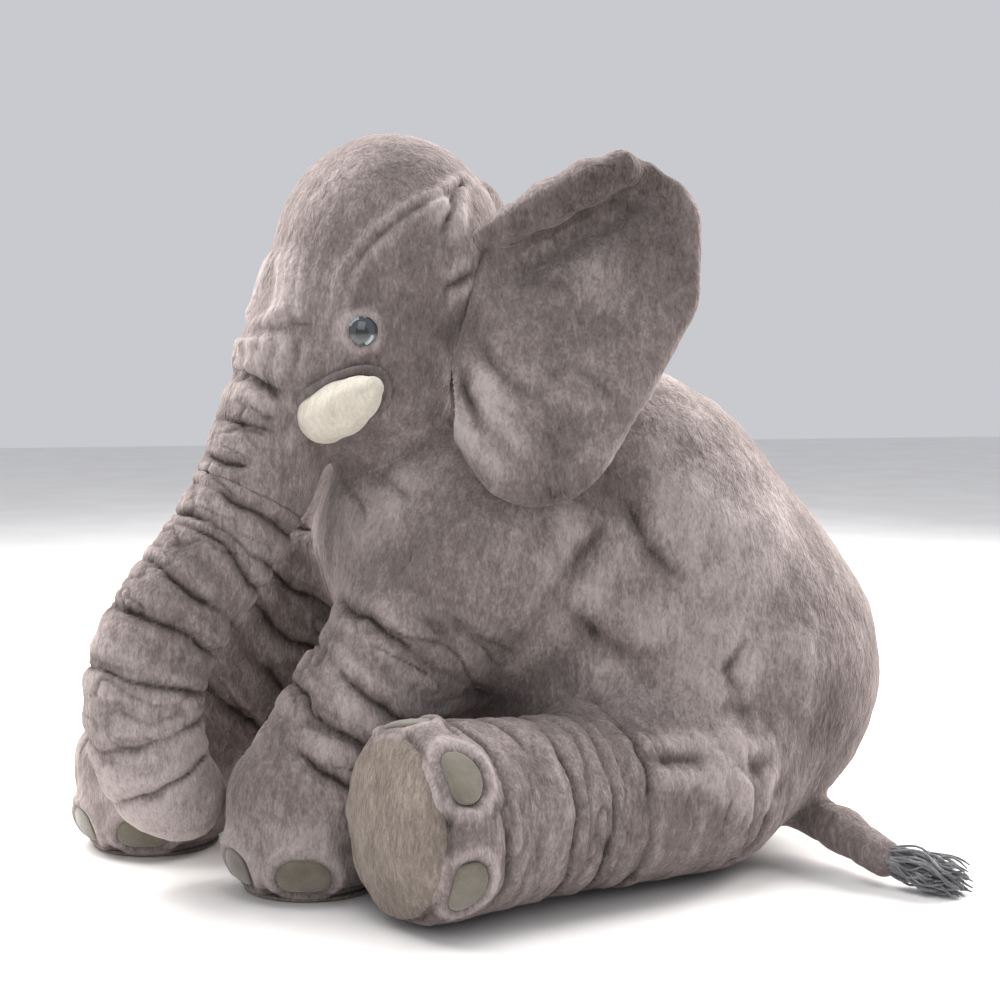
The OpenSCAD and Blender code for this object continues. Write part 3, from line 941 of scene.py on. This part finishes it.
for i, word in enumerate(("left", "right")):
    body_name = f"front_leg_{word}"

    def leg_field(p, i=i):
        return fore(p, i)
    whole = skirted(leg_field, torso, FORE_FILLETS[i])

    def above_sole(p, whole=whole):
        return smax(whole(p), 1.2 - p[:, 2], 3.0)
    lo = np.minimum(FORE_PIVOT[i], FORE_FOOT[i]) - (100, 100, 4)
    hi = np.maximum(FORE_PIVOT[i], FORE_FOOT[i]) + (100, 100, 100)
    lo[2] = -4
    obj = soft_piece(f"{body_name}_plush", above_sole, lo, hi, plush,
                     carried(fore_relief(i), leg_field, torso_relief, FORE_FILLETS[i]), 2.0)
    path = fore_path(i)
    axis = unit(path[-1] - path[0])
    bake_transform(obj)
    finish_piece(obj, "plush", 0.75, f"{body_name}_skin", f"{body_name}_filling")

    def sole_field(p, i=i):
        d = p - FORE_FOOT[i]
        return smax(np.hypot(d[:, 0], d[:, 1]) - 52, np.abs(p[:, 2] - 1.4) - 1.2, 1.5)
    lo = FORE_FOOT[i] - (56, 56, 2)
    hi = FORE_FOOT[i] + (56, 56, 5)
    obj = soft_piece(f"front_sole_{word}_pad", sole_field, lo, hi, plush_light, None, 1.0)
    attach(obj, body_name)
    finish_piece(obj, "plush_light", 0.1, f"front_sole_{word}")

    for k, turn in enumerate(NAIL_TURNS):
        def nail_field(p, i=i, turn=turn):
            return smax(np.abs(foot_block(p, FORE_FOOT[i]) + 0.4) - 1.3, fore_nail(p, i, turn) + 0.6, 1.6)
        a = math.radians(turn)
        centre = FORE_FOOT[i] + (FOOT_R * math.cos(a), FOOT_R * math.sin(a), 24)
        obj = soft_piece(f"front_nail_{word}_{k}", nail_field, centre - 26, centre + 26, velour, None, 1.1)
        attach(obj, body_name)
        finish_piece(obj, "velour", None, f"front_nails_{word}")

for i, word in enumerate(("left", "right")):
    body_name = f"hind_leg_{word}"

    def leg_field(p, i=i):
        return hind(p, i)
    whole = skirted(leg_field, torso, HIND_FILLET)
    lo = np.minimum(HIP[i], HIND_END[i]) - (112, 112, 76)
    hi = np.maximum(HIP[i], HIND_END[i]) + (112, 112, 112)
    lo[2] = -4
    obj = soft_piece(f"{body_name}_plush", whole, lo, hi, plush,
                     carried(hind_relief(i), leg_field, torso_relief, HIND_FILLET), 2.0)
    axis = unit(HIND_END[i] - HIP[i])
    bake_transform(obj)
    finish_piece(obj, "plush", 0.8, f"{body_name}_skin", f"{body_name}_filling")

    def sole_field(p, i=i, axis=axis):
        d = p - HIND_END[i]
        x = d @ axis
        r = np.linalg.norm(d - x[:, None] * axis, axis=1)
        crown = 11 * (1 - np.clip(r / 67, 0, 1) ** 2)
        out = smax(r - 66, np.abs(x + 4 - crown / 2) - 3 - crown / 2, 7.0)
        return smax(out, 0.6 - p[:, 2], 4.0)
    lo = HIND_END[i] - 78
    hi = HIND_END[i] + 78
    lo[2] = -4
    obj = soft_piece(f"hind_sole_{word}_pad", sole_field, lo, hi, plush_light,
                     lambda p: tufts(p, 0.8) + 1.4 * cloud(p, 26.0, 2), 2.0)
    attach(obj, body_name)
    finish_piece(obj, "plush_light", 0.5, f"hind_sole_{word}")

    for k, turn in enumerate(HIND_TURNS):
        _, down, across = hind_frame(i)
        a = hind_angle(i, turn)
        centre = HIND_END[i] - axis * NAIL_IN + HIND_FOOT_R * (down * math.cos(a) + across * math.sin(a))

        def nail_field(p, i=i, turn=turn):
            return smax(np.abs(hind(p, i) + 0.4) - 1.3, hind_nail(p, i, turn) + 0.6, 1.6)
        obj = soft_piece(f"hind_nail_{word}_{k}", nail_field, centre - 28, centre + 28, velour, None, 1.2)
        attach(obj, body_name)
        finish_piece(obj, "velour", None, f"hind_nails_{word}")

obj = soft_piece("tail_plush", skirted(tail, torso, TAIL_FILLET), (20, 215, -2), (185, 310, 62), plush,
                 carried(tail_relief, tail, torso_relief, TAIL_FILLET), 2.0)
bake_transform(obj)
finish_piece(obj, "plush", 0.7, "tail_skin", "tail_filling")


def tubes(strands, radius, sides=6):
    """One mesh of round closed strands, each a list of points."""
    points, faces = [], []
    for line, r in zip(strands, radius):
        line = arr(line)
        first = len(points)
        n = len(line)
        for j in range(n):
            t = unit(line[min(j + 1, n - 1)] - line[max(j - 1, 0)])
            a = unit(np.cross(t, (0.3, 0.2, 1.0)))
            b = np.cross(t, a)
            rj = r * (1.0 if j < n - 1 else 0.5)
            for k in range(sides):
                phi = 2 * math.pi * k / sides
                points.append(line[j] + rj * (math.cos(phi) * a + math.sin(phi) * b))
        for j in range(n - 1):
            for k in range(sides):
                k2 = (k + 1) % sides
                here, above = first + j * sides, first + (j + 1) * sides
                faces.append([above + k, above + k2, here + k2, here + k])
        faces.append([first + k for k in range(sides)])
        faces.append([first + (n - 1) * sides + k for k in range(sides)][::-1])
    return np.array(points), faces


def tassel():
    rng = np.random.RandomState(5)
    t_dir = unit(TASSEL_TIP - TAIL_TIP)
    side_dir = unit(np.cross(t_dir, (0, 0, 1)))
    up_dir = np.cross(side_dir, t_dir)
    strands, radii = [], []
    for _ in range(150):
        a = rng.uniform(0, 2 * math.pi)
        r0 = 9.5 * math.sqrt(rng.rand())
        spread = rng.uniform(0.7, 2.1)
        length = rng.uniform(46, 74)
        curl = rng.uniform(-1, 1, 2) * 7
        start = TAIL_TIP - t_dir * 4 + r0 * (math.cos(a) * side_dir + math.sin(a) * up_dir)
        line = []
        for s in np.linspace(0, 1, 14):
            out = r0 * (spread - 1) * s ** 0.7
            wave = curl * math.sin(2.4 * math.pi * s + a)
            p = start + t_dir * (length * s) + out * (math.cos(a) * side_dir + math.sin(a) * up_dir)
            p = p + side_dir * wave[0] * s + up_dir * (wave[1] * s - 9 * s * s)
            p[2] = max(p[2], 1.8 + 3.0 * rng.rand() * (1 - s))
            line.append(p)
        strands.append(line)
        radii.append(rng.uniform(0.8, 1.25))
    return strands, radii


points, faces = tubes(*tassel())
obj = mesh_object("tail_tassel_yarn", points, faces, yarn)
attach(obj, "tail")
finish_piece(obj, "yarn", None, "tail_tassel")

EYE_TURN, EYE_Z = 55, 424
CRESCENTS = (math.radians(128), math.radians(-42))
TUSK_BASE, TUSK_DIR, TUSK_R = arr((52, -74, 360)), unit((59, 19, 21)), 22.0

for side, word in ((1, "left"), (-1, "right")):
    def tusk_field(p, side=side):
        q = to_head(p) * (side, 1, 1)
        lift = arr((0, -1, 4))
        pts = [TUSK_BASE + TUSK_DIR * x + lift * up for x, up in ((0, 0), (22, 0), (42, 0.4), (58, 1.0))]
        return chain(q, pts, [21.0, 19.0, 14.5, 8.5], 8.0)

    def tusk_relief(p, side=side):
        q = to_head(p) * (side, 1, 1)
        h = 0.5 * tufts(p)
        under = TUSK_BASE + (0, 0, -1)
        seam = [under + TUSK_DIR * s + (0, -2, -TUSK_R * (1 - 0.6 * (s / 60) ** 2)) for s in (8, 24, 40, 56)]
        return h + crease(q, seam, 1.4, 1.3)

    centre = from_head((TUSK_BASE + TUSK_DIR * 30) * (side, 1, 1))
    obj = soft_piece(f"tusk_{word}_fleece", tusk_field, centre - 60, centre + 60, fleece, tusk_relief, 1.6)
    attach(obj, "head")
    finish_piece(obj, "cream_fleece", 0.9, f"tusk_{word}")

    def cuff_field(p, side=side):
        q = to_head(p) * (side, 1, 1)
        x = (q - TUSK_BASE) @ TUSK_DIR
        r = np.linalg.norm(q - TUSK_BASE - x[:, None] * TUSK_DIR, axis=1)
        ring = smax(np.abs(r - TUSK_R - 0.5) - 4.0, np.abs(head(p) - 2.5) - 5.5, 6.0)
        return smax(ring, -x - 6, 2.0)
    obj = soft_piece(f"tusk_cuff_{word}_velour", cuff_field, centre - 60, centre + 60, cuff_pile,
                     lambda p: 0.8 * cloud(p, 12.0, 2), 1.6)
    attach(obj, "head")
    finish_piece(obj, "velour", None, f"tusk_cuff_{word}")

    # Eye: a domed plastic eye with a dark outline, a slate iris and two pale crescents
    a = math.radians(-90 + EYE_TURN)
    out = arr((math.cos(a), math.sin(a), 0))
    across = arr((-math.sin(a), math.cos(a), 0))
    reach = np.linspace(84, 104, 400)
    surface = float(np.interp(0.0, skull(out * reach[:, None] + (0, 0, EYE_Z)), reach))
    seat = out * surface + (0, 0, EYE_Z) - out * 1.2
    R_EYE, H_EYE, NR, NA = 12.2, 5.4, 48, 96
    sphere_r = (R_EYE ** 2 + H_EYE ** 2) / (2 * H_EYE)
    pts, tint, quads = [], [], []
    for j in range(NR + 1):
        rr = R_EYE * j / NR
        z = math.sqrt(sphere_r ** 2 - rr ** 2) - (sphere_r - H_EYE)
        for k in range(NA):
            phi = 2 * math.pi * k / NA
            x, y = rr * math.cos(phi), 1.08 * rr * math.sin(phi)
            p = seat + out * (z + 0.2) + across * x + arr((0, 0, y))
            pts.append(from_head(p * (side, 1, 1)))
            f = rr / R_EYE
            lobe = math.hypot(x - 1.2, y + 1.2) / R_EYE
            if f > 0.84:
                colour = (0.03, 0.03, 0.035)
            elif f > 0.68 and max(math.cos(phi - CRESCENTS[0]) - 0.88, math.cos(phi - CRESCENTS[1]) - 0.9) > 0:
                colour = (0.62, 0.65, 0.68)
            elif lobe < 0.42:
                colour = (0.04, 0.045, 0.05)
            else:
                colour = (0.20, 0.225, 0.25)
            tint.append(linear(colour))
    for j in range(NR):
        for k in range(NA):
            k2 = (k + 1) % NA
            q = [j * NA + k, (j + 1) * NA + k, (j + 1) * NA + k2, j * NA + k2]
            quads.append(q if side > 0 else q[::-1])
    back = [NR * NA + k for k in range(NA)]
    quads.append(back[::-1] if side > 0 else back)
    obj = mesh_object(f"eye_{word}_dome", pts, quads, eye_gloss)
    layer = obj.data.color_attributes.new("tint", "FLOAT_COLOR", "POINT")
    layer.data.foreach_set("color", np.array(tint, np.float32)[:len(obj.data.vertices)].ravel())
    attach(obj, "head")
    finish_piece(obj, "eye_plastic", None, f"eye_{word}")


def mottled(name, rough, specular, scale, dark, light, relief=None):
    """A plain matt surface with a faint mottle."""
    mat, nodes, links, bsdf = principled(name, rough, 0.0, 0.5, specular)
    fac = noise_node(nodes, links, nodes.new("ShaderNodeTexCoord").outputs["Object"], scale, 3)
    links.new(ramp_node(nodes, links, fac, [(0.3, dark), (0.7, light)]), bsdf.inputs["Base Color"])
    if relief:
        bump(nodes, links, bsdf, [(fac, *relief)])
    return mat


washer_mat = mottled("washer_plastic", 0.5, 0.4, 300, (0.78, 0.78, 0.74), (0.9, 0.9, 0.87), (0.3, 0.0003))
for word in ("left", "right"):
    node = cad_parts[f"eye_washer_{word}"]
    node.data.materials.clear()
    node.data.materials.append(washer_mat)

# ---- Floor, light and camera ----

bpy.ops.mesh.primitive_plane_add(size=12, location=(0, 0, -0.0005))
floor = bpy.context.object
floor.name = "floor"
floor.data.materials.append(mottled("floor_pale", 0.45, 0.3, 6, (0.90, 0.89, 0.885), (0.93, 0.925, 0.92)))

world = bpy.data.worlds.new("studio")
bpy.context.scene.world = world
world.use_nodes = True
world.node_tree.nodes["Background"].inputs[0].default_value = (0.93, 0.95, 1.0, 1.0)
world.node_tree.nodes["Background"].inputs[1].default_value = 0.62


def area(name, at, target, size, power, colour=(1, 1, 1)):
    data = bpy.data.lights.new(name, "AREA")
    data.shape = "SQUARE"
    data.size = size
    data.energy = power
    data.color = colour
    obj = bpy.data.objects.new(name, data)
    bpy.context.scene.collection.objects.link(obj)
    look(obj, at, target)


def look(obj, at, target):
    obj.location = at
    obj.rotation_euler = (Vector(target) - Vector(at)).to_track_quat("-Z", "Y").to_euler()


area("window_behind", (-1.1, -1.1, 1.5), (0, 0, 0.3), 1.5, 82, (1.0, 0.98, 0.95))
area("window_right", (-0.8, 1.8, 1.3), (0, 0, 0.35), 1.4, 105, (1.0, 0.98, 0.95))
area("ceiling", (-0.1, -0.1, 2.2), (0, 0, 0.3), 1.4, 34)
area("room_front", (2.0, -1.0, 1.5), (0, 0, 0.25), 1.6, 9)

cam_data = bpy.data.cameras.new("camera")
cam_data.lens = 73.8
cam_data.sensor_width = 36
camera = bpy.data.objects.new("camera", cam_data)
bpy.context.scene.collection.objects.link(camera)
CAM_AT = arr((1.6115, -0.3372, 0.425))
pitch = math.radians(4.74)
ahead = unit((-0.978, 0.208, 0)) * math.cos(pitch) - arr((0, 0, math.sin(pitch)))
look(camera, CAM_AT, CAM_AT + ahead)
bpy.context.scene.camera = camera
bpy.context.scene.view_settings.view_transform = "Standard"
